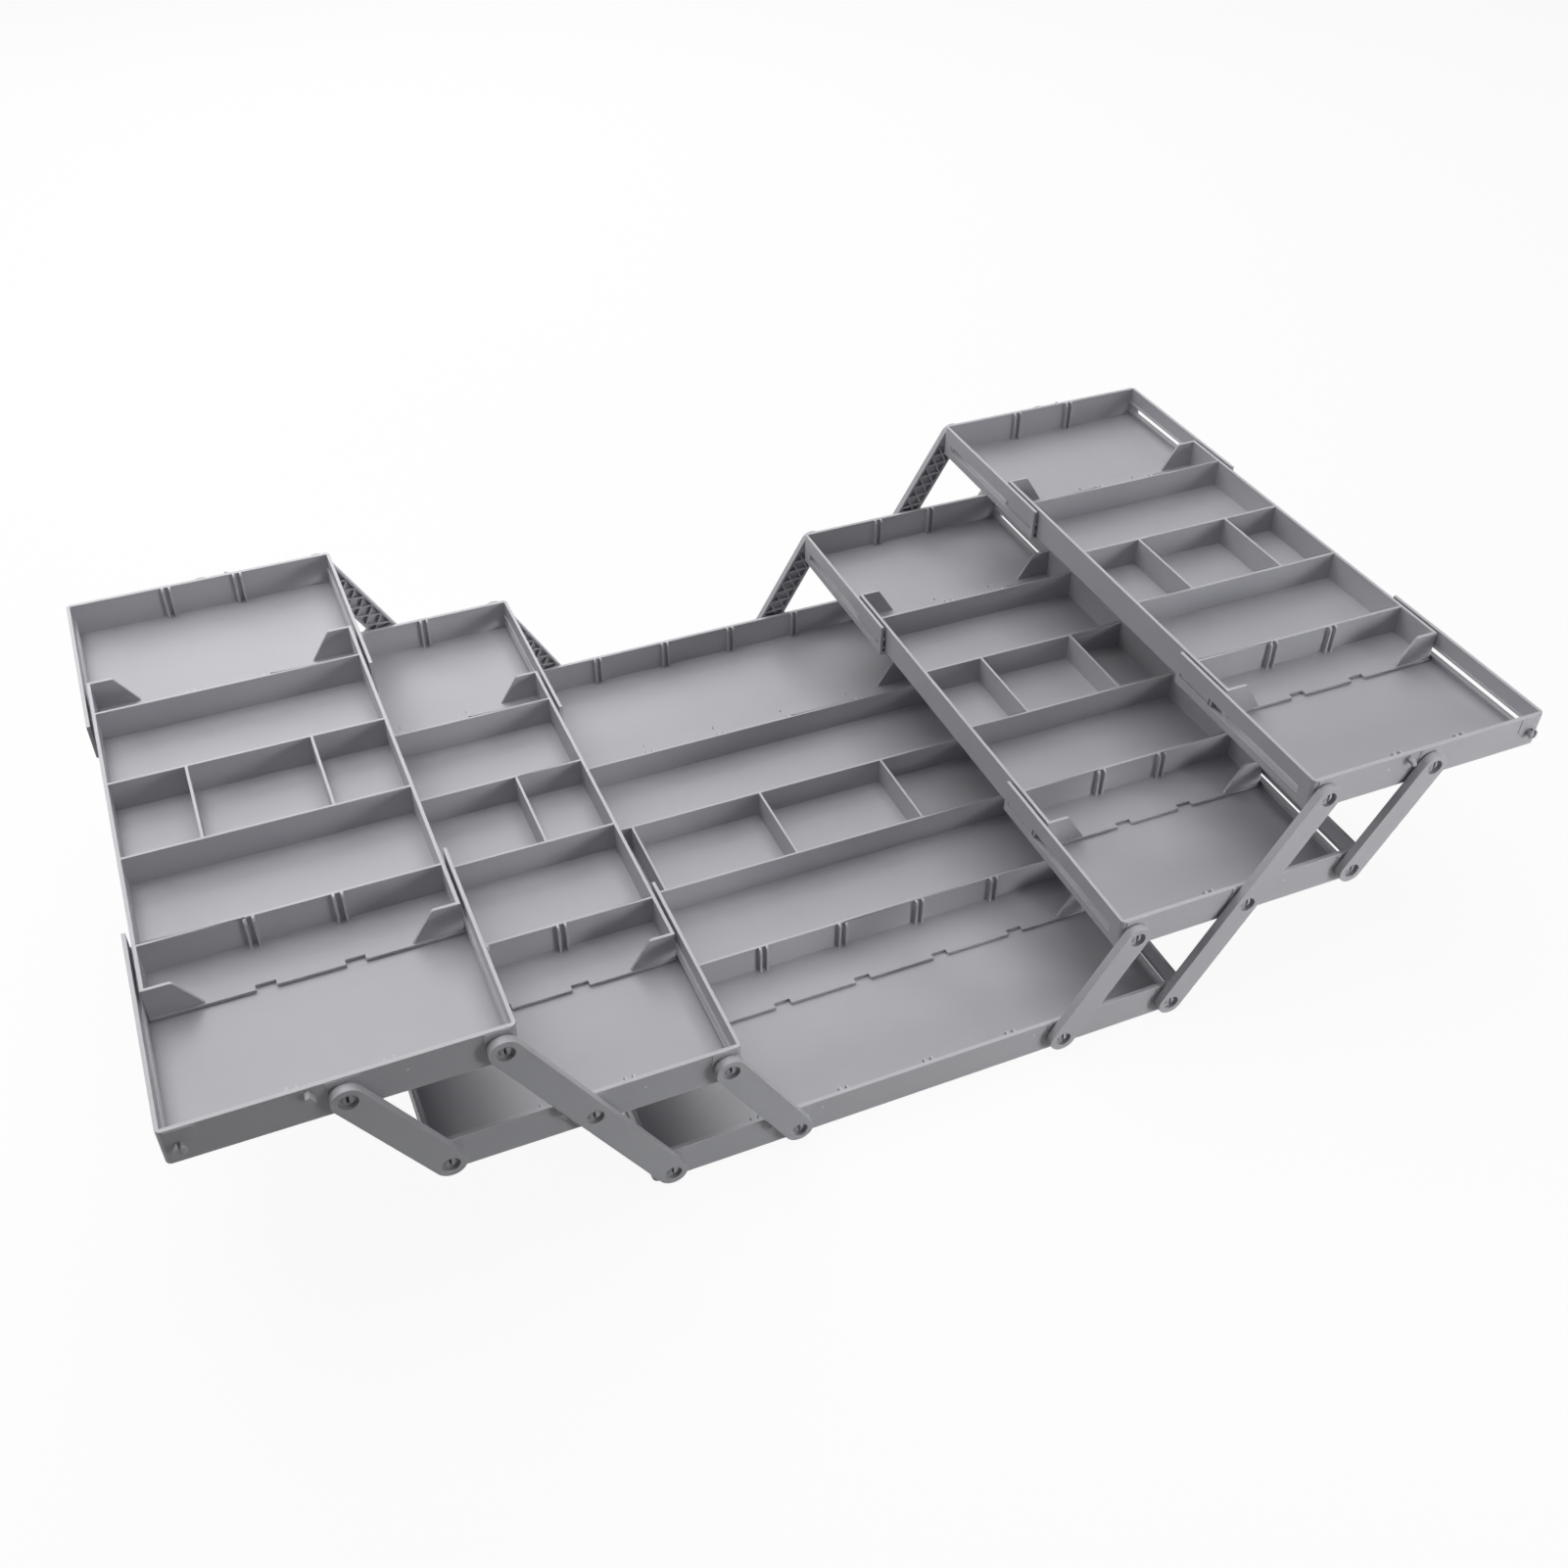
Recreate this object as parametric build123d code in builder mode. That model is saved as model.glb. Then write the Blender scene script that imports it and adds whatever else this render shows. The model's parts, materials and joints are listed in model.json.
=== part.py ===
from build123d import *
import math
import os

os.makedirs("parts", exist_ok=True)

# Fold-out desk organizer: a wide base tray carrying a left and a right stack of two smaller trays.
# Every tray is a fixed centre tray with a front drawer and a rear drawer that slide out of its ends.
# Millimetres, +Z up, front at -Y, origin at the middle of the base's underside.

# Tray sizes
tray_width = 160.0
stack_gap = 3.5
base_margin = 1.25
tray_height = 22.4
open_depth = 432.0
slide_travel = 83.0

# Drawer moulding
drawer_floor = 1.8
side_wall = 2.0
end_wall = 2.4
corner_radius = 3.0
bottom_chamfer = 0.8
drawer_inner_end = 86.5
rail_depth = 1.4
rail_height = 1.1
slot_bottom = 6.1
slot_height = 5.1
slot_inner_end = 119.7
kerf_height = 0.8
kerf_rise = 0.9
kerf_inner_end = 91.0
kerf_hook = 2.6

# Centre tray moulding
floor_clearance = 0.3
rail_clearance = 0.4
centre_floor = 1.8
centre_wall = 2.0
floor_end = 130.1
fin_face = 129.2
fin_thickness = 1.8
fin_flat = 18.0
fin_foot = 30.0
fin_radius = 2.5
divider_thickness = 1.6
outer_divider = 97.5
inner_divider = 31.5
small_cross_spacing = 33.75
base_cross_spacing = 88.1
notch_width = 9.8
notch_depth = 3.4
catch_length = 2.0
catch_clearance = 0.3
catch_reach = 3.2

# Slotted rib pairs that hold loose dividers
rib_thickness = 1.5
rib_gap = 2.8
rib_depth = 3.0
rib_chamfer = 1.4
small_rib_offset = 21.65
base_rib_pitch = 51.6

# Snap studs on the drawers' end walls
stud_inset = 8.0
stud_height = 11.6
pad_width = 16.0
pad_thickness = 0.5
pad_drop = 3.5
pad_chamfer = 4.0
pad_margin = 0.6
journal_radius = 2.4
head_radius = 3.1
head_thickness = 1.4
head_taper = 25.0
stud_slot = 1.2

# Arms
stack_clearance = 0.65
arm_width = 16.0
arm_thickness = 5.0
arm_gap = 0.4
arm_skin = 1.6
arm_rim = 1.5
journal_clearance = 0.1
counterbore_radius = 4.6
counterbore_floor = 2.4
head_clearance = 0.2
boss_reach = 6.8
lattice_pitch = 9.0
lattice_width = 1.1
lattice_recess = 0.5
open_angle = 59.5

# Stop pegs beside the studs, clear of the folded arms above and below them
peg_thickness = 2.4
peg_reach = 4.6
peg_clearance = 0.4
peg_fold_clearance = 0.3

# How the mouldings are drawn
round_sides = 16
hidden_sides = 12
root_depth = 0.2
overrun = 1.0

# Values that follow from the sizes above
half_depth = open_depth / 2
base_width = 2 * (tray_width + base_margin) + stack_gap
stud_spacing = tray_width / 2 - stud_inset
hole_radius = journal_radius + journal_clearance
slot_outer_end = slot_inner_end + catch_clearance + catch_length + slide_travel
stack_centre = (stack_gap + tray_width) / 2
centre_inset = side_wall + rail_depth + rail_clearance
centre_underside = drawer_floor + floor_clearance
centre_floor_top = centre_underside + centre_floor
stud_end = pad_thickness + arm_gap + counterbore_floor + head_clearance
stack_step = tray_height + stack_clearance
arm_pitch = math.hypot(stud_spacing, stack_step)
level_shift = stud_spacing + arm_pitch * math.cos(math.radians(open_angle))
level_rise = arm_pitch * math.sin(math.radians(open_angle))
fold_turn = math.radians(open_angle) + math.atan2(stack_step, stud_spacing)
folded_arm_spacing = stud_spacing * stack_step / arm_pitch
peg_room = folded_arm_spacing - arm_width - 2 * peg_fold_clearance
peg_length = (peg_room - peg_thickness * math.cos(fold_turn)) / math.sin(fold_turn)
peg_across = arm_width / 2 + peg_clearance + peg_thickness / 2
peg_along = (folded_arm_spacing / 2 + peg_across * math.cos(fold_turn)) / math.sin(fold_turn)
peg_shift = peg_along * math.cos(math.radians(open_angle)) + peg_across * math.sin(math.radians(open_angle))
peg_rise = peg_along * math.sin(math.radians(open_angle)) - peg_across * math.cos(math.radians(open_angle))


# Front drawer: floor, end wall, two slotted side walls with guide rails, rib pairs, studs and pegs
def make_drawer(width, rib_centres, stud_centres, peg_centres, peg_sides):
    depth = half_depth - drawer_inner_end
    middle_y = -(half_depth + drawer_inner_end) / 2
    with BuildPart() as drawer:
        with BuildSketch(Plane.XY):
            with Locations((0, middle_y)):
                Rectangle(width, depth)
        extrude(amount=tray_height)
        corner_edges = drawer.edges().filter_by(Axis.Z).group_by(Axis.Y)[0]
        fillet(corner_edges, corner_radius)
        underside = drawer.faces().sort_by(Axis.Z)[0]
        under_edges = underside.edges().sort_by(Axis.Y)[:-1]
        chamfer(under_edges, bottom_chamfer)
        with BuildSketch(Plane.XY.offset(drawer_floor)):
            with Locations((0, middle_y + end_wall)):
                Rectangle(width - 2 * side_wall, depth)
        extrude(amount=tray_height, mode=Mode.SUBTRACT)
        # Guide rails above and below the slot, on both side walls
        with BuildSketch(Plane.XZ.offset(drawer_inner_end)):
            for side in (-1, 1):
                rail_x = side * (width / 2 - side_wall - (rail_depth - root_depth) / 2)
                with Locations((rail_x, slot_bottom + slot_height + rail_height / 2)):
                    Rectangle(rail_depth + root_depth, rail_height)
                with Locations((rail_x, slot_bottom - rail_height / 2)):
                    Rectangle(rail_depth + root_depth, rail_height)
        extrude(amount=depth - end_wall)
        # Slot, and the thin cut that frees a snap tongue at its inner end
        with BuildSketch(Plane.YZ):
            with Locations((-(slot_outer_end + slot_inner_end) / 2, slot_bottom + slot_height / 2)):
                Rectangle(slot_outer_end - slot_inner_end, slot_height)
            with Locations((-(slot_inner_end + kerf_inner_end) / 2, slot_bottom + kerf_rise + kerf_height / 2)):
                Rectangle(slot_inner_end - kerf_inner_end + root_depth, kerf_height)
            with Locations((-kerf_inner_end, slot_bottom + kerf_rise + kerf_hook / 2)):
                Rectangle(kerf_height, kerf_hook)
        extrude(amount=width / 2 + overrun, both=True, mode=Mode.SUBTRACT)
        # Rib pairs on the inside of the end wall
        for rib_centre in rib_centres:
            for side in (-1, 1):
                rib_x = rib_centre + side * (rib_gap + rib_thickness) / 2 - rib_thickness / 2
                with BuildSketch(Plane.YZ.offset(rib_x)):
                    with BuildLine():
                        root_y = -half_depth + end_wall
                        Polyline(
                            (root_y - root_depth, drawer_floor - root_depth),
                            (root_y + rib_depth, drawer_floor - root_depth),
                            (root_y + rib_depth, tray_height - rib_chamfer),
                            (root_y + rib_depth - rib_chamfer, tray_height),
                            (root_y - root_depth, tray_height),
                            close=True,
                        )
                    make_face()
                extrude(amount=rib_thickness)
        # Raised pads, journals and split, tapered heads of the snap studs
        for stud_centre in stud_centres:
            pad_start = max(stud_centre - pad_width / 2, corner_radius - width / 2)
            pad_end = min(stud_centre + pad_width / 2, width / 2 - corner_radius)
            pad_bottom = stud_height - pad_drop
            with BuildSketch(Plane.XZ.offset(half_depth - root_depth)):
                with BuildLine():
                    Polyline(
                        (pad_start, tray_height - pad_margin),
                        (pad_start, pad_bottom + pad_chamfer),
                        (pad_start + pad_chamfer, pad_bottom),
                        (pad_end - pad_chamfer, pad_bottom),
                        (pad_end, pad_bottom + pad_chamfer),
                        (pad_end, tray_height - pad_margin),
                        close=True,
                    )
                make_face()
            extrude(amount=pad_thickness + root_depth)
        with BuildSketch(Plane.XZ.offset(half_depth)):
            for stud_centre in stud_centres:
                with Locations((stud_centre, stud_height)):
                    RegularPolygon(journal_radius, hidden_sides)
        extrude(amount=stud_end + root_depth)
        with BuildSketch(Plane.XZ.offset(half_depth + stud_end)):
            for stud_centre in stud_centres:
                with Locations((stud_centre, stud_height)):
                    RegularPolygon(head_radius, round_sides)
        extrude(amount=head_thickness, taper=head_taper)
        with BuildSketch(Plane.XZ.offset(half_depth + pad_thickness + arm_gap)):
            for stud_centre in stud_centres:
                with Locations((stud_centre, stud_height)):
                    Rectangle(stud_slot, 2 * (head_radius + overrun))
        extrude(amount=stud_end + head_thickness, mode=Mode.SUBTRACT)
        # Stop pegs, each lying along the edge of the opened arm
        for peg_centre, peg_side in zip(peg_centres, peg_sides):
            with BuildSketch(Plane.XZ.offset(half_depth - root_depth)):
                with Locations((peg_centre + peg_side * peg_shift, stud_height + peg_rise)):
                    Rectangle(peg_length, peg_thickness, rotation=peg_side * open_angle)
            extrude(amount=peg_reach + root_depth)
    return drawer.part


# Centre tray: raised floor, two side walls, dividers, cut-down end fins, rib pairs and slot catches
def make_centre_tray(width, rib_centres, cross_centres):
    inner_width = width - 2 * centre_inset
    wall_height = tray_height - centre_underside
    with BuildPart() as centre:
        with BuildSketch(Plane.XY.offset(centre_underside)):
            Rectangle(inner_width, 2 * floor_end)
            for rib_centre in rib_centres:
                with Locations((rib_centre, floor_end), (rib_centre, -floor_end)):
                    Rectangle(notch_width, 2 * notch_depth, mode=Mode.SUBTRACT)
        extrude(amount=centre_floor)
        # Side walls
        with BuildSketch(Plane.XY.offset(centre_underside)):
            with Locations((inner_width / 2 - centre_wall / 2, 0), (-inner_width / 2 + centre_wall / 2, 0)):
                Rectangle(centre_wall, 2 * fin_face)
        extrude(amount=wall_height)
        # Full-width dividers and the cross dividers of the middle row
        with BuildSketch(Plane.XY.offset(centre_floor_top - root_depth)):
            with Locations((0, outer_divider), (0, inner_divider), (0, -inner_divider), (0, -outer_divider)):
                Rectangle(inner_width - centre_wall, divider_thickness)
            for cross_centre in cross_centres:
                with Locations((cross_centre, 0)):
                    Rectangle(divider_thickness, 2 * inner_divider)
        extrude(amount=tray_height - centre_floor_top + root_depth)
        # End fins, full height beside the walls and cut away in between
        for side in (-1, 1):
            wall_x = side * (inner_width - centre_wall) / 2
            flat_x = side * (width / 2 - fin_flat)
            foot_x = side * (width / 2 - fin_foot)
            with BuildSketch(Plane.XZ.offset(fin_face - fin_thickness)) as fin:
                with BuildLine():
                    Polyline(
                        (wall_x, centre_floor_top - root_depth),
                        (foot_x, centre_floor_top - root_depth),
                        (flat_x, tray_height),
                        (wall_x, tray_height),
                        close=True,
                    )
                make_face()
                fillet(fin.vertices().group_by(Axis.Y)[-1].sort_by(Axis.X)[-1 if side < 0 else 0], fin_radius)
            extrude(amount=fin_thickness)
        mirror(about=Plane.XZ)
        # Rib pairs on the outer faces of the outer dividers
        for rib_centre in rib_centres:
            for side in (-1, 1):
                rib_x = rib_centre + side * (rib_gap + rib_thickness) / 2 - rib_thickness / 2
                with BuildSketch(Plane.YZ.offset(rib_x)) as rib:
                    with BuildLine():
                        root_y = outer_divider + divider_thickness / 2
                        Polyline(
                            (root_y - root_depth, centre_floor_top - root_depth),
                            (root_y + rib_depth, centre_floor_top - root_depth),
                            (root_y + rib_depth, tray_height - rib_chamfer),
                            (root_y + rib_depth - rib_chamfer, tray_height),
                            (root_y - root_depth, tray_height),
                            close=True,
                        )
                    make_face()
                    mirror(about=Plane.YZ)
                extrude(amount=rib_thickness)
        # Catches that run in the drawers' slots
        catch_height = slot_height - 2 * catch_clearance
        catch_y = slot_inner_end + catch_clearance + catch_length / 2
        with BuildSketch(Plane.XY.offset(slot_bottom + catch_clearance)):
            for side in (-1, 1):
                catch_x = side * (inner_width + catch_reach - root_depth) / 2
                with Locations((catch_x, catch_y), (catch_x, -catch_y)):
                    Rectangle(catch_reach + root_depth, catch_length)
        extrude(amount=catch_height)
    return centre.part


# Arm with pivots every arm_pitch: plain outside, X-lattice in the hollow side, counterbored pivots
def make_arm(pivot_count):
    length = arm_pitch * (pivot_count - 1)
    pivots = [(arm_pitch * number, 0) for number in range(pivot_count)]
    spans = [(arm_pitch * (number + 0.5), 0) for number in range(pivot_count - 1)]
    inner_face = half_depth + pad_thickness + arm_gap
    pocket_length = arm_pitch - 2 * boss_reach
    pocket_width = arm_width - 2 * arm_rim
    pocket_depth = arm_thickness - arm_skin
    bar_length = math.hypot(lattice_pitch, pocket_width)
    bar_angle = math.degrees(math.atan2(pocket_width, lattice_pitch))
    cell_count = int(pocket_length / lattice_pitch)
    with BuildPart() as arm:
        with BuildSketch(Plane.XZ.offset(inner_face)):
            with Locations((length / 2, 0)):
                SlotCenterToCenter(length, arm_width)
        extrude(amount=arm_thickness)
        # Hollows on the tray side, one between each two pivots
        with BuildSketch(Plane.XZ.offset(inner_face)):
            with Locations(*spans):
                Rectangle(pocket_length, pocket_width)
        extrude(amount=pocket_depth, mode=Mode.SUBTRACT)
        # X-lattice ribs in the hollows
        with BuildSketch(Plane.XZ.offset(inner_face + lattice_recess)):
            with Locations(*spans):
                with GridLocations(lattice_pitch, 0, cell_count, 1):
                    Rectangle(bar_length, lattice_width, rotation=bar_angle)
                    Rectangle(bar_length, lattice_width, rotation=-bar_angle)
        extrude(amount=pocket_depth - lattice_recess)
        # Pivot holes, counterbored from outside for the stud heads
        with BuildSketch(Plane.XZ.offset(inner_face)):
            with Locations(*pivots):
                Circle(hole_radius)
        extrude(amount=arm_thickness, mode=Mode.SUBTRACT)
        with BuildSketch(Plane.XZ.offset(inner_face + counterbore_floor)):
            with Locations(*pivots):
                RegularPolygon(counterbore_radius, round_sides, major_radius=False)
        extrude(amount=arm_thickness, mode=Mode.SUBTRACT)
    return arm.part


# Mouldings
small_ribs = [-small_rib_offset, small_rib_offset]
base_ribs = [base_rib_pitch * number for number in (-2, -1, 0, 1, 2)]
small_studs = [-stud_spacing, 0.0, stud_spacing]
base_studs = [-stack_centre - stud_spacing, -stack_centre, stack_centre, stack_centre + stud_spacing]
small_crosses = [-small_cross_spacing, small_cross_spacing]
base_crosses = [-base_cross_spacing, 0.0, base_cross_spacing]

base_drawer = make_drawer(base_width, base_ribs, base_studs, [-stack_centre, stack_centre], [-1, 1])
left_drawer = make_drawer(tray_width, small_ribs, small_studs, [0.0], [-1])
right_drawer = make_drawer(tray_width, small_ribs, small_studs, [0.0], [1])
base_centre = make_centre_tray(base_width, base_ribs, base_crosses)
small_centre = make_centre_tray(tray_width, small_ribs, small_crosses)
short_arm = make_arm(2)
long_arm = make_arm(3)

# Turns a front piece into its rear twin
to_rear = Rot(0, 0, 180)


# Puts a moulding in its place, names it and writes its file
def place(moulding, location, name):
    piece = location * moulding
    piece.label = name
    export_step(piece, f"parts/{name}.step")


place(base_centre, Location(), "base_centre_tray")
place(base_drawer, Location(), "base_front_drawer")
place(base_drawer, to_rear, "base_rear_drawer")

for side_name, side in (("left", -1), ("right", 1)):
    for level_name, level in (("middle", 1), ("top", 2)):
        tray_x = side * (stack_centre + level * level_shift)
        tray_z = level * level_rise
        front_moulding = right_drawer if side_name == "right" and level_name == "middle" else left_drawer
        rear_moulding = left_drawer if side_name == "right" or level_name == "top" else right_drawer
        place(small_centre, Pos(tray_x, 0, tray_z), f"{side_name}_{level_name}_centre_tray")
        place(front_moulding, Pos(tray_x, 0, tray_z), f"{side_name}_{level_name}_front_drawer")
        place(rear_moulding, Pos(tray_x, 0, tray_z) * to_rear, f"{side_name}_{level_name}_rear_drawer")
    turn = Rot(0, -open_angle if side > 0 else open_angle - 180, 0)
    outer_stud = Pos(side * (stack_centre + stud_spacing), 0, stud_height)
    inner_stud = Pos(side * stack_centre, 0, stud_height)
    upper_stud = Pos(side * (stack_centre + level_shift + stud_spacing), 0, stud_height + level_rise)
    other_name = "right" if side_name == "left" else "left"
    for arm_name, moulding, foot in (
        ("long_arm", long_arm, outer_stud),
        ("lower_arm", short_arm, inner_stud),
        ("upper_arm", short_arm, upper_stud),
    ):
        place(moulding, foot * turn, f"{side_name}_front_{arm_name}")
        place(moulding, to_rear * foot * turn, f"{other_name}_rear_{arm_name}")
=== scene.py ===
import json
import math

import bmesh
import bpy
from mathutils import Matrix, Vector

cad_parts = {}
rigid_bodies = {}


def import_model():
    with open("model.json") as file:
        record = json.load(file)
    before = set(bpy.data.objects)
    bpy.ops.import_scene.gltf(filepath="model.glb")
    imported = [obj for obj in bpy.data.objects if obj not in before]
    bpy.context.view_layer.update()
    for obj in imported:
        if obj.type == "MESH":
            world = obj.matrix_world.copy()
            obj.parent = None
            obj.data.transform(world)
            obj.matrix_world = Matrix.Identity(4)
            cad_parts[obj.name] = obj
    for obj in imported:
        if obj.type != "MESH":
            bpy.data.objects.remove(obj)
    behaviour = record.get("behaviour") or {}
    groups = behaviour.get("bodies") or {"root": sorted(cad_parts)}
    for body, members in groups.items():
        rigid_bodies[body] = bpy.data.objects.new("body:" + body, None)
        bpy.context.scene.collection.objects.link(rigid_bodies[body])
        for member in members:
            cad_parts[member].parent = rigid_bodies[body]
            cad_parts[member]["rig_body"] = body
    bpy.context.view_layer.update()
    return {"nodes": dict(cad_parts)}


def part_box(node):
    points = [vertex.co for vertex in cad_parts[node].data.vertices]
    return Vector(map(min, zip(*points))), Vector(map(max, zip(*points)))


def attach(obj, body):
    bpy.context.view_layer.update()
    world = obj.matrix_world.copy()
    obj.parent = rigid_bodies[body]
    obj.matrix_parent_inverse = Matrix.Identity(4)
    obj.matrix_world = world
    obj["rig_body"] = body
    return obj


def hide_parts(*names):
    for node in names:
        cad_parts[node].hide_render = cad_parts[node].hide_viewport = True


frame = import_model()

MM = 0.001

# Sizes of the mouldings, as in the part
TRAY_HEIGHT = 22.4 * MM
TRAY_LEVELS = 3
LEVEL_RISE = 65.14 * MM
HALF_DEPTH = 216.0 * MM
OPEN_ANGLE = math.radians(59.5)
STACK_CENTRE = 81.75 * MM
STUD_SPACING = 72.0 * MM
STUD_HEIGHT = 11.6 * MM
PAD_THICKNESS = 0.5 * MM

# Snap studs
JOURNAL_RADIUS = 2.4 * MM
HEAD_RADIUS = 3.1 * MM
HEAD_START = 3.5 * MM
HEAD_THICKNESS = 1.4 * MM
STUD_SLOT = 1.2 * MM
STUD_ROOT = 0.2 * MM

# Stop pegs, and the low marks of the gates
PEG_LENGTH = 4.94 * MM
PEG_THICKNESS = 2.4 * MM
PEG_REACH = 4.6 * MM
PEG_SHIFT = 15.09 * MM
PEG_RISE = 6.70 * MM
GATE_RADIUS = 0.85 * MM
GATE_TIP_RADIUS = 0.3 * MM
GATE_DEPTH = 0.2 * MM
GATE_STEPS = 24

# Arms
ARM_GAP = 0.4 * MM
ARM_WIDTH = 16.0 * MM
ARM_THICKNESS = 5.0 * MM
ARM_SKIN = 1.6 * MM
ARM_RIM = 1.5 * MM
HOLE_RADIUS = 2.5 * MM
COUNTERBORE_RADIUS = 4.6 * MM
COUNTERBORE_FLOOR = 2.4 * MM
LATTICE_CELLS = 6
LATTICE_PITCH = 9.0 * MM
LATTICE_WIDTH = 1.1 * MM
LATTICE_RECESS = 0.5 * MM
LATTICE_OVERRUN = 0.6 * MM
CROSSING_LIFT = 0.02 * MM

# How the pieces are finished
EDGE_ROUND = 0.22 * MM
SMALL_ROUND = 0.15 * MM
ROUNDING_STEPS = 3
SHARP_ANGLE = math.radians(30)
FLAT_ANGLE = math.radians(0.5)
ROUND_STEPS = 48
MERGE_DISTANCE = 0.002 * MM
NEAR = 0.01 * MM
CLEAR_OF_PAD = 0.1 * MM
SUNK = 0.2 * MM

# What the plastic shows: clouds of the flow and spark grain, and rims of the trays painted paler as a
# highlight
FLOW_CLOUD = 45 * MM
GRAIN_RELIEF = 0.05 * MM
# Band and grey of the painted highlight along the rims of the trays
RIM_BAND = 0.4 * MM
RIM_HIGHLIGHT_GREY = "#BEBEC3"

# Sockets of a mix node set to colours
FIRST_COLOUR = 6
SECOND_COLOUR = 7
MIXED_COLOUR = 2

# Studio
FLOOR_HALF_WIDTH = 6.0
FLOOR_DROP = 0.4 * MM
EVEN_LIGHT = 0.02


# sRGB hex to linear colour
def colour(hex_code):
    channels = [int(hex_code[i:i + 2], 16) / 255 for i in (1, 3, 5)]
    linear = [c / 12.92 if c <= 0.04045 else ((c + 0.055) / 1.055) ** 2.4 for c in channels]
    return (*linear, 1.0)


# Adds a node to a material, with its settings and links
def add_node(material, kind, settings=None, inputs=None, links=None):
    node = material.node_tree.nodes.new(kind)
    for name, value in (settings or {}).items():
        setattr(node, name, value)
    for name, value in (inputs or {}).items():
        node.inputs[name].default_value = value
    for name, socket in (links or {}).items():
        material.node_tree.links.new(socket, node.inputs[name])
    return node


# 1 on the rims of the trays, where a highlight is painted, by their height on each level, and 0 elsewhere
def rim_highlight_share(material, place):
    height = add_node(material, "ShaderNodeSeparateXYZ", links={"Vector": place})
    share = None
    for level in range(TRAY_LEVELS):
        top = level * LEVEL_RISE + TRAY_HEIGHT
        near = add_node(material, "ShaderNodeMath", settings={"operation": "COMPARE"},
                        inputs={1: top, 2: RIM_BAND}, links={0: height.outputs["Z"]})
        if share is None:
            share = near.outputs["Value"]
        else:
            share = add_node(material, "ShaderNodeMath", settings={"operation": "MAXIMUM"},
                             links={0: share, 1: near.outputs["Value"]}).outputs["Value"]
    return share


# Satin injection-moulded ABS: a spark-eroded mould leaves an even, very fine grain, so highlights are
# broad and soft; the melt's flow leaves faint cloudy differences in tone and gloss, and the rims of the
# trays can get a paler grey, which is a painted highlight
def satin_abs(name, hex_code, roughness, grain_mm, seed, painted_rim_highlight=False):
    material = bpy.data.materials.new(name)
    material.use_nodes = True
    material.node_tree.nodes.clear()
    place = add_node(material, "ShaderNodeTexCoord")
    shift = add_node(material, "ShaderNodeMapping", inputs={"Location": (seed, seed * 0.7, seed * 0.3)},
                     links={"Vector": place.outputs["Object"]})
    # Clouds of the flow, 3 percent darker to 3 percent lighter
    clouds = add_node(material, "ShaderNodeTexNoise", links={"Vector": shift.outputs["Vector"]},
                      inputs={"Scale": 1 / FLOW_CLOUD, "Detail": 3.0, "Roughness": 0.55})
    tone = add_node(material, "ShaderNodeValToRGB", links={"Fac": clouds.outputs["Fac"]})
    base = colour(hex_code)
    tone.color_ramp.elements[0].position = 0.3
    tone.color_ramp.elements[0].color = (base[0] * 0.965, base[1] * 0.965, base[2] * 0.97, 1)
    tone.color_ramp.elements[1].position = 0.72
    tone.color_ramp.elements[1].color = (base[0] * 1.03, base[1] * 1.03, base[2] * 1.028, 1)
    surface = tone.outputs["Color"]
    if painted_rim_highlight:
        # Painted highlight: the rims of the trays are mixed towards a paler grey
        pale = add_node(material, "ShaderNodeMix", settings={"data_type": "RGBA"},
                        inputs={SECOND_COLOUR: colour(RIM_HIGHLIGHT_GREY)},
                        links={0: rim_highlight_share(material, place.outputs["Object"]), FIRST_COLOUR: surface})
        surface = pale.outputs[MIXED_COLOUR]
    gloss = add_node(material, "ShaderNodeMapRange", links={"Value": clouds.outputs["Fac"]},
                     inputs={"From Min": 0.3, "From Max": 0.7,
                             "To Min": roughness - 0.03, "To Max": roughness + 0.04})
    # Spark grain; the real one is about 0.1 mm and is drawn coarser so that it shows
    grain = add_node(material, "ShaderNodeTexNoise", links={"Vector": shift.outputs["Vector"]},
                     inputs={"Scale": 1 / (grain_mm * MM), "Detail": 2.0, "Roughness": 0.6})
    relief = add_node(material, "ShaderNodeBump", inputs={"Strength": 0.10, "Distance": GRAIN_RELIEF},
                      links={"Height": grain.outputs["Fac"]})
    shader = add_node(material, "ShaderNodeBsdfPrincipled", inputs={"IOR": 1.50},
                      links={"Base Color": surface, "Roughness": gloss.outputs["Result"],
                             "Normal": relief.outputs["Normal"]})
    add_node(material, "ShaderNodeOutputMaterial", links={"Surface": shader.outputs["BSDF"]})
    return material


tray_abs = satin_abs("satin moulded ABS, tray grey", "#B0B0B5", 0.46, 0.7, 3.1, painted_rim_highlight=True)
drawer_abs = satin_abs("satin moulded ABS, drawer grey", "#AFAFB4", 0.45, 0.7, 7.7, painted_rim_highlight=True)
arm_abs = satin_abs("satin moulded ABS, arm grey", "#B1B1B6", 0.42, 0.6, 12.3)
# Torn and whitened where the gate was twisted off: paler and duller, so it shows as a small speck
whitened_abs = satin_abs("torn ABS, whitened at the gate", "#DEDFE2", 0.62, 0.3, 5.9)


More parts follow.
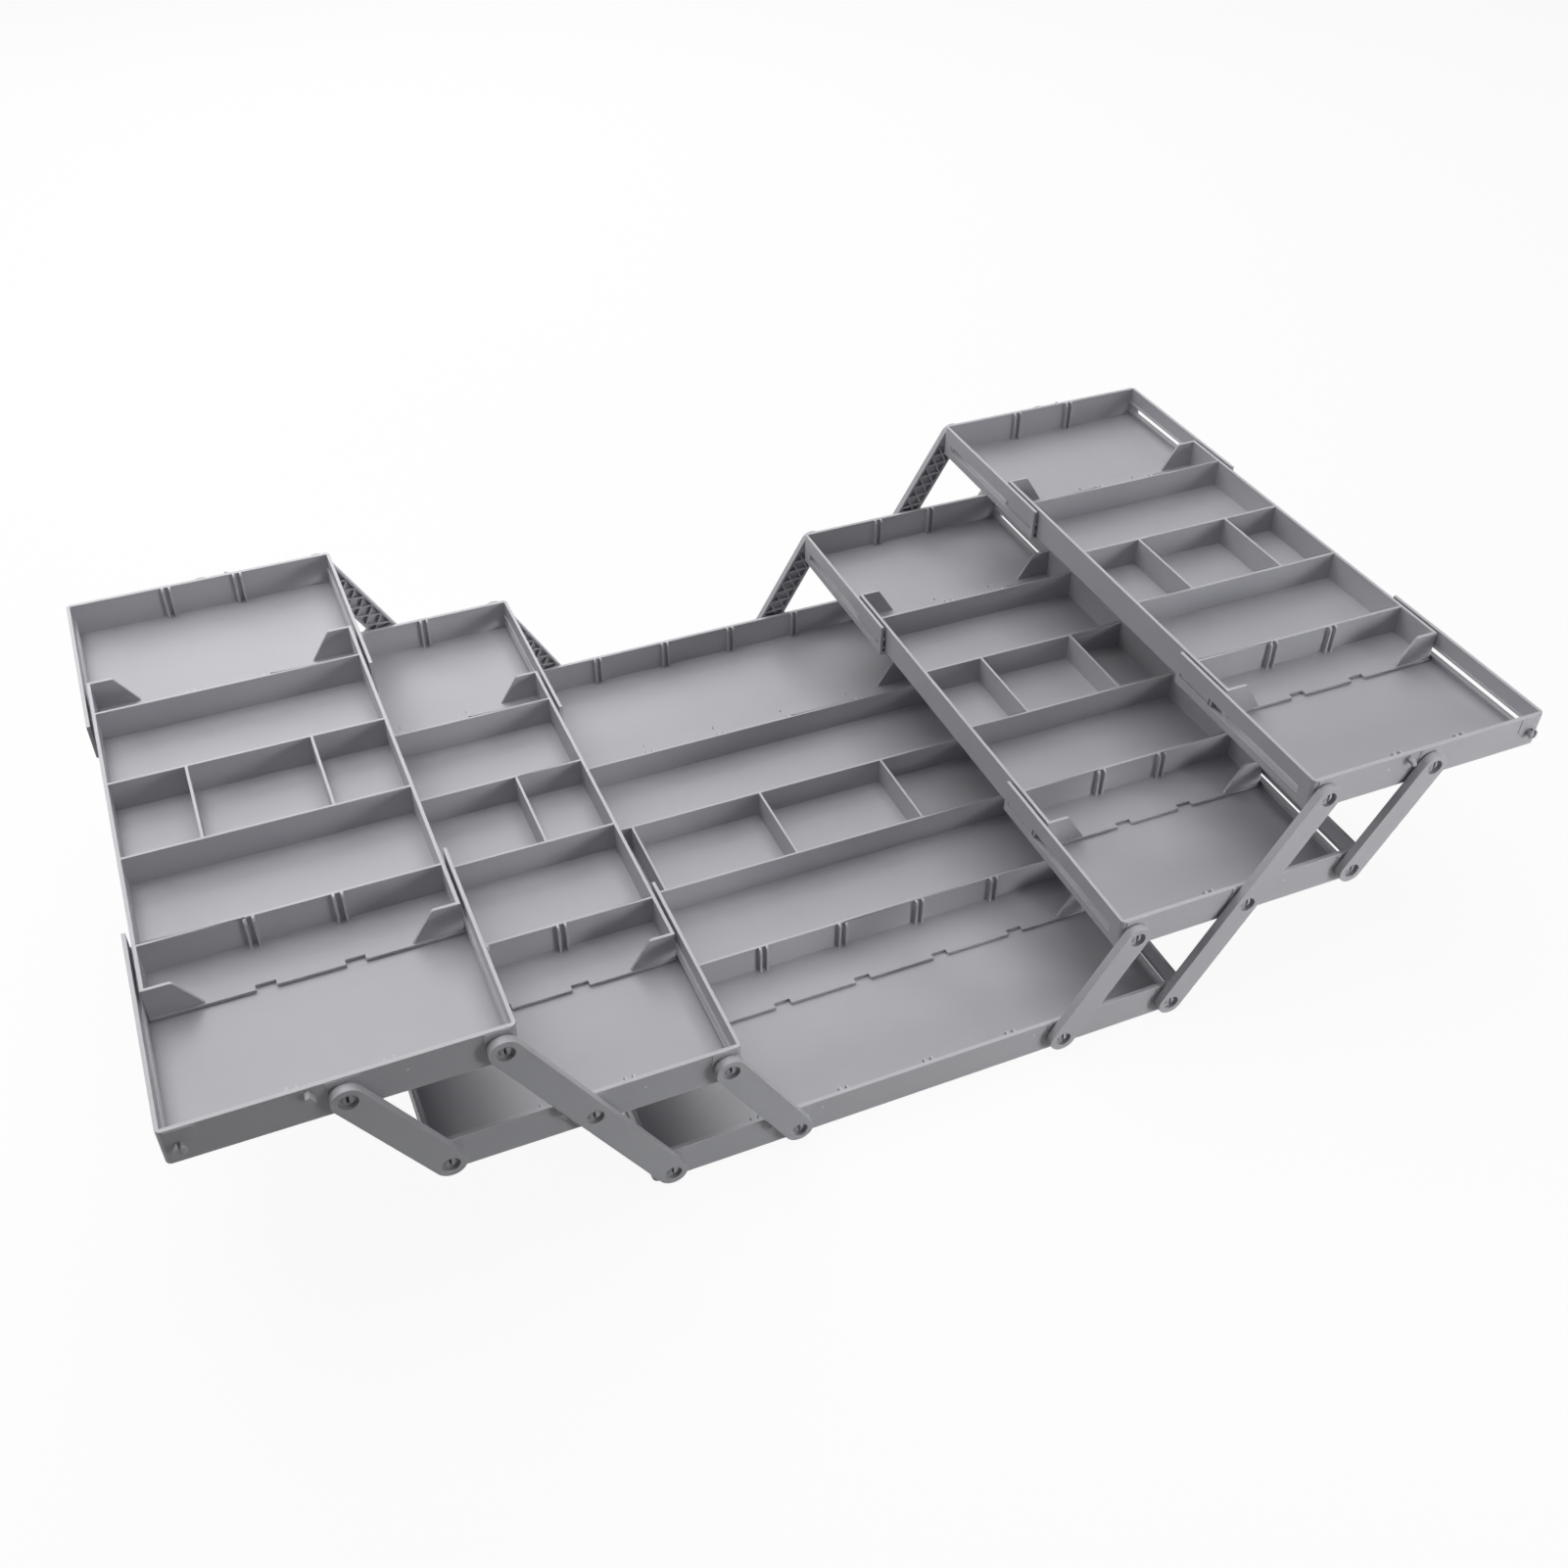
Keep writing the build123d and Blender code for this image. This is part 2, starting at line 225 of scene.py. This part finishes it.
# Turns a finished bmesh into an object whose sharp edges are rounded as a mould rounds them
def finished_piece(shape, name, material, body, edge_round):
    bmesh.ops.recalc_face_normals(shape, faces=shape.faces)
    for face in shape.faces:
        face.smooth = True
        face.material_index = 0
    mesh = bpy.data.meshes.new(name)
    shape.to_mesh(mesh)
    shape.free()
    mesh.materials.append(material)
    piece = bpy.data.objects.new(name, mesh)
    bpy.context.scene.collection.objects.link(piece)
    rounding = piece.modifiers.new("moulded edges", "BEVEL")
    rounding.width = edge_round
    rounding.segments = ROUNDING_STEPS
    rounding.limit_method = "ANGLE"
    rounding.angle_limit = SHARP_ANGLE
    rounding.use_clamp_overlap = False
    rounding.miter_outer = "MITER_ARC"
    rounding.loop_slide = False
    shading = piece.modifiers.new("flat faces shade flat", "WEIGHTED_NORMAL")
    shading.mode = "FACE_AREA"
    shading.weight = 50
    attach(piece, body)
    return piece


# Copy of a moulding's mesh from its solid, with its vertices merged
def moulding_copy(node):
    shape = bmesh.new()
    shape.from_mesh(frame["nodes"][node].data)
    bmesh.ops.remove_doubles(shape, verts=shape.verts, dist=MERGE_DISTANCE)
    return shape


# Joins the triangles of each flat face, so that its edges are rounded evenly
def tidy_flats(shape):
    bmesh.ops.dissolve_limit(shape, angle_limit=FLAT_ANGLE, use_dissolve_boundaries=False,
                             verts=shape.verts, edges=shape.edges, delimit=set())


# Centre tray: its solid with rounded edges; faces with openings are split, so that they shade evenly
def centre_tray(node):
    shape = moulding_copy(node)
    tidy_flats(shape)
    bmesh.ops.connect_verts_concave(shape, faces=shape.faces)
    piece = finished_piece(shape, node + "_moulding", tray_abs, frame["nodes"][node]["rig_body"], EDGE_ROUND)
    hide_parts(node)


# Snap stud of two prongs with a domed, split head, its axis along +Z from the drawer's wall at z = 0;
# it starts inside the round pad
def add_stud(shape, to_place):
    profile = (
        (0, STUD_ROOT),
        (JOURNAL_RADIUS, STUD_ROOT),
        (JOURNAL_RADIUS, HEAD_START),
        (HEAD_RADIUS, HEAD_START),
        (HEAD_RADIUS, HEAD_START + 0.25 * HEAD_THICKNESS),
        (0.93 * HEAD_RADIUS, HEAD_START + 0.45 * HEAD_THICKNESS),
        (0.79 * HEAD_RADIUS, HEAD_START + 0.70 * HEAD_THICKNESS),
        (0.58 * HEAD_RADIUS, HEAD_START + 0.88 * HEAD_THICKNESS),
        (0.30 * HEAD_RADIUS, HEAD_START + 0.97 * HEAD_THICKNESS),
        (0, HEAD_START + HEAD_THICKNESS),
    )
    for side in (0, 1):
        prong = bmesh.new()
        corners = [prong.verts.new((radius, 0, reach)) for radius, reach in profile]
        edges = [prong.edges.new(pair) for pair in zip(corners[:-1], corners[1:])]
        bmesh.ops.spin(prong, geom=corners + edges, cent=(0, 0, 0), axis=(0, 0, 1), angle=2 * math.pi,
                       steps=ROUND_STEPS, use_merge=True, use_duplicate=False)
        bmesh.ops.remove_doubles(prong, verts=prong.verts, dist=MERGE_DISTANCE)
        bmesh.ops.bisect_plane(prong, geom=prong.verts[:] + prong.edges[:] + prong.faces[:],
                               plane_co=(STUD_SLOT / 2, 0, 0), plane_no=(1, 0, 0), clear_inner=True)
        rim = [edge for edge in prong.edges if edge.is_boundary]
        bmesh.ops.contextual_create(prong, geom=rim)
        bmesh.ops.recalc_face_normals(prong, faces=prong.faces)
        bmesh.ops.rotate(prong, verts=prong.verts, cent=(0, 0, 0),
                         matrix=Matrix.Rotation(math.pi * side, 3, "Z"))
        bmesh.ops.transform(prong, matrix=to_place, verts=prong.verts)
        mesh = bpy.data.meshes.new("prong")
        prong.to_mesh(mesh)
        prong.free()
        shape.from_mesh(mesh)
        bpy.data.meshes.remove(mesh)


# Block-shaped stop peg, standing on the drawer's wall at z = 0 and sunk into it a little
def add_peg(shape, to_place, turn):
    made = bmesh.ops.create_cube(shape, size=1.0)["verts"]
    bmesh.ops.scale(shape, verts=made, vec=(PEG_LENGTH, PEG_THICKNESS, PEG_REACH + SUNK))
    bmesh.ops.translate(shape, verts=made, vec=(0, 0, (PEG_REACH - SUNK) / 2))
    bmesh.ops.rotate(shape, verts=made, cent=(0, 0, 0), matrix=Matrix.Rotation(turn, 3, "Z"))
    bmesh.ops.transform(shape, matrix=to_place, verts=made)


# Low vestige where the melt entered the mould, on the drawer's wall at z = 0
def add_gate_mark(shape, to_place):
    made = bmesh.ops.create_cone(shape, cap_ends=True, segments=GATE_STEPS, radius1=GATE_RADIUS,
                                 radius2=GATE_TIP_RADIUS, depth=GATE_DEPTH)["verts"]
    bmesh.ops.transform(shape, matrix=to_place, verts=made)


# Place of a point of a drawer's end wall, with x along it, y up and z out of it; the rear twin is
# turned about
def wall_place(centre, end, x, y):
    across = Vector((-end, 0, 0))
    outward = Vector((0, end, 0))
    turn = Matrix((across, outward.cross(across), outward)).transposed()
    spot = Vector((centre.x - end * x, end * HALF_DEPTH, centre.z + y))
    return Matrix.Translation(spot) @ turn.to_4x4()


# Drawer: the solid without its studs and pegs, which are modelled round and rounded here
def drawer(node, stud_places, pegs, gates):
    end = -1 if "front" in node else 1
    low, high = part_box(node)
    centre = Vector(((low.x + high.x) / 2, 0, low.z))
    body = frame["nodes"][node]["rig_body"]
    shape = moulding_copy(node)
    beyond = HALF_DEPTH + PAD_THICKNESS + CLEAR_OF_PAD
    standing = [vert for vert in shape.verts if end * vert.co.y > beyond]
    bmesh.ops.delete(shape, geom=standing, context="VERTS")
    bmesh.ops.holes_fill(shape, edges=[edge for edge in shape.edges if edge.is_boundary])
    tidy_flats(shape)
    piece = finished_piece(shape, node + "_moulding", drawer_abs, body, EDGE_ROUND)
    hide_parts(node)
    studs = bmesh.new()
    for x in stud_places:
        add_stud(studs, wall_place(centre, end, x, STUD_HEIGHT))
    finished_piece(studs, node + "_studs", drawer_abs, body, SMALL_ROUND)
    stops = bmesh.new()
    for x, side in pegs:
        place = wall_place(centre, end, x + side * PEG_SHIFT, STUD_HEIGHT + PEG_RISE)
        add_peg(stops, place, side * OPEN_ANGLE)
    finished_piece(stops, node + "_pegs", drawer_abs, body, EDGE_ROUND)
    marks = bmesh.new()
    for x, y in gates:
        add_gate_mark(marks, wall_place(centre, end, x, y))
    finished_piece(marks, node + "_gate_marks", whitened_abs, body, SMALL_ROUND)


# Flat plate of an arm round one pivot: a round hole in a boss that is square towards its neighbours
def pivot_plate(shape, x, z, hole_radius, left_end, right_end):
    inner = bmesh.ops.create_circle(shape, segments=ROUND_STEPS, radius=hole_radius)["verts"]
    outer = bmesh.ops.create_circle(shape, segments=ROUND_STEPS, radius=ARM_WIDTH / 2)["verts"]
    for vert in outer:
        open_side = (vert.co.x < -NEAR and not left_end) or (vert.co.x > NEAR and not right_end)
        if open_side:
            vert.co *= ARM_WIDTH / 2 / max(abs(vert.co.x), abs(vert.co.y))
    rings = {edge for vert in inner + outer for edge in vert.link_edges}
    bmesh.ops.bridge_loops(shape, edges=list(rings))
    bmesh.ops.translate(shape, verts=inner + outer, vec=(x, 0, z))


# Sheet with the arm's outline and a row of holes, at height z
def arm_sheet(shape, pivots, z, hole_radius):
    for x in pivots:
        pivot_plate(shape, x, z, hole_radius, x == pivots[0], x == pivots[-1])
    for start, end in zip(pivots[:-1], pivots[1:]):
        sides = (start + ARM_WIDTH / 2, end - ARM_WIDTH / 2)
        facing = [edge for edge in shape.edges if edge.is_boundary and any(
            all(abs(vert.co.x - side) < NEAR and abs(vert.co.z - z) < NEAR for vert in edge.verts)
            for side in sides)]
        bmesh.ops.bridge_loops(shape, edges=facing)


# Boundary edges of a round hole about a pivot
def hole_edges(shape, x, z, radius):
    found = []
    for edge in shape.edges:
        on_ring = [abs(math.hypot(vert.co.x - x, vert.co.y) - radius) < NEAR for vert in edge.verts]
        level = [abs(vert.co.z - z) < NEAR for vert in edge.verts]
        if edge.is_boundary and all(on_ring) and all(level):
            found.append(edge)
    return found


# Flat faces of the inner sheet between two pivots
def inner_span(shape, start, end):
    found = []
    for face in shape.faces:
        middle = face.calc_center_median()
        inner = abs(face.normal.z) > 0.9 and abs(middle.z) < NEAR
        if inner and start + ARM_WIDTH / 2 < middle.x < end - ARM_WIDTH / 2:
            found.append(face)
    return found


# Arm lying along +X with its outer face up, from its first pivot at the origin
def arm_shape(pivots):
    shape = bmesh.new()
    arm_sheet(shape, pivots, ARM_THICKNESS, COUNTERBORE_RADIUS)
    arm_sheet(shape, pivots, 0, HOLE_RADIUS)
    # Counterbores: straight down, in to the bearing hole and down to the inner face
    for x in pivots:
        loop = hole_edges(shape, x, ARM_THICKNESS, COUNTERBORE_RADIUS)
        for drop, shrink in ((ARM_THICKNESS - COUNTERBORE_FLOOR, 1), (0, HOLE_RADIUS / COUNTERBORE_RADIUS)):
            made = bmesh.ops.extrude_edge_only(shape, edges=loop)["geom"]
            ring = [part for part in made if isinstance(part, bmesh.types.BMVert)]
            loop = [part for part in made if isinstance(part, bmesh.types.BMEdge)]
            bmesh.ops.translate(shape, verts=ring, vec=(0, 0, -drop))
            bmesh.ops.scale(shape, verts=ring, vec=(shrink, shrink, 1),
                            space=Matrix.Translation((-x, 0, 0)))
        bmesh.ops.bridge_loops(shape, edges=loop + hole_edges(shape, x, 0, HOLE_RADIUS))
    # Outer walls between the two sheets
    bmesh.ops.bridge_loops(shape, edges=[edge for edge in shape.edges if edge.is_boundary])
    # Hollows in the inner face
    for start, end in zip(pivots[:-1], pivots[1:]):
        span = inner_span(shape, start, end)
        bmesh.ops.inset_region(shape, faces=span, thickness=ARM_RIM, use_even_offset=True)
        made = bmesh.ops.extrude_face_region(shape, geom=span)["geom"]
        bmesh.ops.delete(shape, geom=span, context="FACES")
        floor = [part for part in made if isinstance(part, bmesh.types.BMVert)]
        bmesh.ops.translate(shape, verts=floor, vec=(0, 0, ARM_THICKNESS - ARM_SKIN))
    return shape


# X-lattice bars of the hollows, sunk into their skin and walls, with crossing bars a hair apart in height
def add_lattice(shape, pivots):
    room = ARM_WIDTH - 2 * ARM_RIM
    bar = math.hypot(LATTICE_PITCH, room) + LATTICE_OVERRUN
    slope = math.atan2(room, LATTICE_PITCH)
    depth = ARM_THICKNESS - ARM_SKIN - LATTICE_RECESS + SUNK
    for start in pivots[:-1]:
        middle = start + (pivots[1] - pivots[0]) / 2
        for cell in range(LATTICE_CELLS):
            along = middle + (cell + 0.5 - LATTICE_CELLS / 2) * LATTICE_PITCH
            for direction in (-1, 1):
                height = LATTICE_RECESS + depth / 2 + CROSSING_LIFT * direction
                made = bmesh.ops.create_cube(shape, size=1.0)["verts"]
                bmesh.ops.scale(shape, verts=made, vec=(bar, LATTICE_WIDTH, depth))
                bmesh.ops.rotate(shape, verts=made, cent=(0, 0, 0),
                                 matrix=Matrix.Rotation(slope * direction, 3, "Z"))
                bmesh.ops.translate(shape, verts=made, vec=(along, 0, height))


# Arm: modelled afresh with round bosses, counterbores and lattice
def arm(node):
    low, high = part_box(node)
    left = "left" in node
    end = -1 if "front" in node else 1
    reach = Vector((high.x - low.x - ARM_WIDTH, 0, high.z - low.z - ARM_WIDTH))
    foot = Vector((high.x - ARM_WIDTH / 2 if left else low.x + ARM_WIDTH / 2, 0, low.z + ARM_WIDTH / 2))
    along = Vector((-reach.x if left else reach.x, 0, reach.z)).normalized()
    outward = Vector((0, end, 0))
    inner_face = end * (HALF_DEPTH + PAD_THICKNESS + ARM_GAP)
    turn = Matrix((along, outward.cross(along), outward)).transposed()
    place = Matrix.Translation(Vector((foot.x, inner_face, foot.z))) @ turn.to_4x4()
    count = 3 if "long" in node else 2
    pivots = [reach.length * number / (count - 1) for number in range(count)]
    body = frame["nodes"][node]["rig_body"]
    shape = arm_shape(pivots)
    bmesh.ops.transform(shape, matrix=place, verts=shape.verts)
    piece = finished_piece(shape, node + "_moulding", arm_abs, body, EDGE_ROUND)
    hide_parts(node)
    bars = bmesh.new()
    add_lattice(bars, pivots)
    bmesh.ops.transform(bars, matrix=place, verts=bars.verts)
    finished_piece(bars, node + "_lattice", arm_abs, body, SMALL_ROUND)


# Places on the end walls: studs along them from the middle, gates also by their height, and pegs by
# their stud and the side that they stand on
base_studs = (-STACK_CENTRE - STUD_SPACING, -STACK_CENTRE, STACK_CENTRE, STACK_CENTRE + STUD_SPACING)
base_pegs = ((-STACK_CENTRE, -1), (STACK_CENTRE, 1))
base_gates = ((-65.5 * MM, 16.0 * MM), (65.5 * MM, 16.0 * MM))
small_studs = (-STUD_SPACING, 0, STUD_SPACING)
small_peg = ((0, -1),)
turned_peg = ((0, 1),)
small_gate = ((28.5 * MM, 14.8 * MM),)
turned_gate = ((-28.5 * MM, 14.8 * MM),)

for node in sorted(frame["nodes"]):
    if "arm" in node:
        arm(node)
    elif "centre" in node:
        centre_tray(node)
    elif "base" in node:
        drawer(node, base_studs, base_pegs, base_gates)
    elif node in ("right_middle_front_drawer", "left_middle_rear_drawer"):
        drawer(node, small_studs, turned_peg, small_gate)
    elif node in ("right_top_front_drawer", "left_top_rear_drawer"):
        drawer(node, small_studs, small_peg, turned_gate)
    else:
        drawer(node, small_studs, small_peg, small_gate)


# 1 for the rays that show the surroundings themselves: seen straight, in a sheen or through a clear piece
def seen_directly(owner):
    path = add_node(owner, "ShaderNodeLightPath")
    sight = add_node(owner, "ShaderNodeMath", settings={"operation": "MAXIMUM"},
                     links={0: path.outputs["Is Camera Ray"], 1: path.outputs["Is Glossy Ray"]})
    clear = add_node(owner, "ShaderNodeMath", settings={"operation": "MAXIMUM"},
                     links={0: sight.outputs["Value"], 1: path.outputs["Is Transmission Ray"]})
    return clear.outputs["Value"]


# Matt studio paper: plain white where it is seen, with the object's shadow, and a mid grey in the light it
# throws back, so that the trays keep their shade as they do in a large dark studio
def studio_paper(name, shown_hex, bounce_hex, white_share):
    material = bpy.data.materials.new(name)
    material.use_nodes = True
    material.node_tree.nodes.clear()
    seen = seen_directly(material)
    tone = add_node(material, "ShaderNodeMix", settings={"data_type": "RGBA"},
                    inputs={FIRST_COLOUR: colour(bounce_hex), SECOND_COLOUR: colour(shown_hex)},
                    links={0: seen})
    share = add_node(material, "ShaderNodeMath", settings={"operation": "MULTIPLY"},
                     inputs={1: white_share}, links={0: seen})
    paper = add_node(material, "ShaderNodeBsdfDiffuse", links={"Color": tone.outputs[MIXED_COLOUR]})
    white = add_node(material, "ShaderNodeEmission", inputs={"Color": (1, 1, 1, 1), "Strength": 1.0})
    mixed = add_node(material, "ShaderNodeMixShader",
                     links={0: share.outputs["Value"], 1: paper.outputs["BSDF"],
                            2: white.outputs["Emission"]})
    add_node(material, "ShaderNodeOutputMaterial", links={"Surface": mixed.outputs["Shader"]})
    return material


# Floor of pale studio paper, a hair below the organizer
def studio_floor():
    shape = bmesh.new()
    bmesh.ops.create_grid(shape, x_segments=1, y_segments=1, size=FLOOR_HALF_WIDTH)
    bmesh.ops.translate(shape, verts=shape.verts, vec=(0, 0, -FLOOR_DROP))
    mesh = bpy.data.meshes.new("studio_floor")
    shape.to_mesh(mesh)
    shape.free()
    mesh.materials.append(studio_paper("matt studio paper", "#FAFAFA", "#A0A0A0", 0.93))
    floor = bpy.data.objects.new("studio_floor", mesh)
    bpy.context.scene.collection.objects.link(floor)


studio_floor()


# World: a trace of even light, and white where it is seen
def studio_world():
    world = bpy.data.worlds.new("studio")
    bpy.context.scene.world = world
    world.use_nodes = True
    world.node_tree.nodes.clear()
    even = add_node(world, "ShaderNodeBackground", inputs={"Color": (1, 1, 1, 1), "Strength": EVEN_LIGHT})
    white = add_node(world, "ShaderNodeBackground", inputs={"Color": (1, 1, 1, 1), "Strength": 1.0})
    mixed = add_node(world, "ShaderNodeMixShader",
                     links={0: seen_directly(world), 1: even.outputs[0], 2: white.outputs[0]})
    add_node(world, "ShaderNodeOutputWorld", links={"Surface": mixed.outputs[0]})


studio_world()


# Square soft box aimed at a point; a honeycomb grid narrows its beam to the spread angle. The camera
# doesn't see it
def soft_box(name, place, target, size, power, spread=180):
    lamp = bpy.data.lights.new(name, "AREA")
    lamp.shape = "SQUARE"
    lamp.size = size
    lamp.energy = power
    lamp.spread = math.radians(spread)
    holder = bpy.data.objects.new(name, lamp)
    holder.location = place
    holder.visible_camera = False
    holder.rotation_euler = (Vector(target) - Vector(place)).to_track_quat("-Z", "Y").to_euler()
    bpy.context.scene.collection.objects.link(holder)


soft_box("overhead_box", (0, 0.2, 2.0), (0, 0, 0.05), 2.0, 18.7)
soft_box("back_box", (0, 1.7, 1.3), (0, 0, 0.05), 1.3, 18)
soft_box("back_right_box", (1.3, 1.3, 1.3), (0.2, 0, 0.05), 1.1, 3.0)
soft_box("left_box", (-1.8, 0.1, 0.7), (0, 0, 0.05), 1.0, 6.0)
soft_box("upper_left_box", (-0.75, 0.6, 1.1), (-0.3, 0, 0.1), 0.6, 2.2)
soft_box("left_stack_box", (-0.5, 0.2, 1.3), (-0.33, 0, 0.13), 0.5, 0.16, 50)
soft_box("front_right_box", (1.1, -1.5, 0.5), (0.2, -0.22, 0.08), 0.5, 0.72, 36)
soft_box("low_front_card", (0.6, -0.8, 0.01), (0.45, -0.35, 0.35), 0.6, 3.1)


# Camera at the photograph's place and with its lens, fitted to points read off it
def photo_camera():
    lens = bpy.data.cameras.new("camera")
    lens.sensor_fit = "HORIZONTAL"
    lens.sensor_width = 36.0
    lens.lens = 37.471
    lens.clip_start = 0.01
    lens.clip_end = 50
    holder = bpy.data.objects.new("camera", lens)
    turn = Matrix(((0.91904747, -0.39403353, 0.00945075), (0.24907665, 0.59919787, 0.76086973),
                   (-0.30547106, -0.69692144, 0.64883584))).transposed()
    holder.matrix_world = Matrix.Translation((-0.310881, -0.718040, 0.721503)) @ turn.to_4x4()
    bpy.context.scene.collection.objects.link(holder)
    bpy.context.scene.camera = holder


photo_camera()

bpy.context.scene.view_settings.view_transform = "Standard"
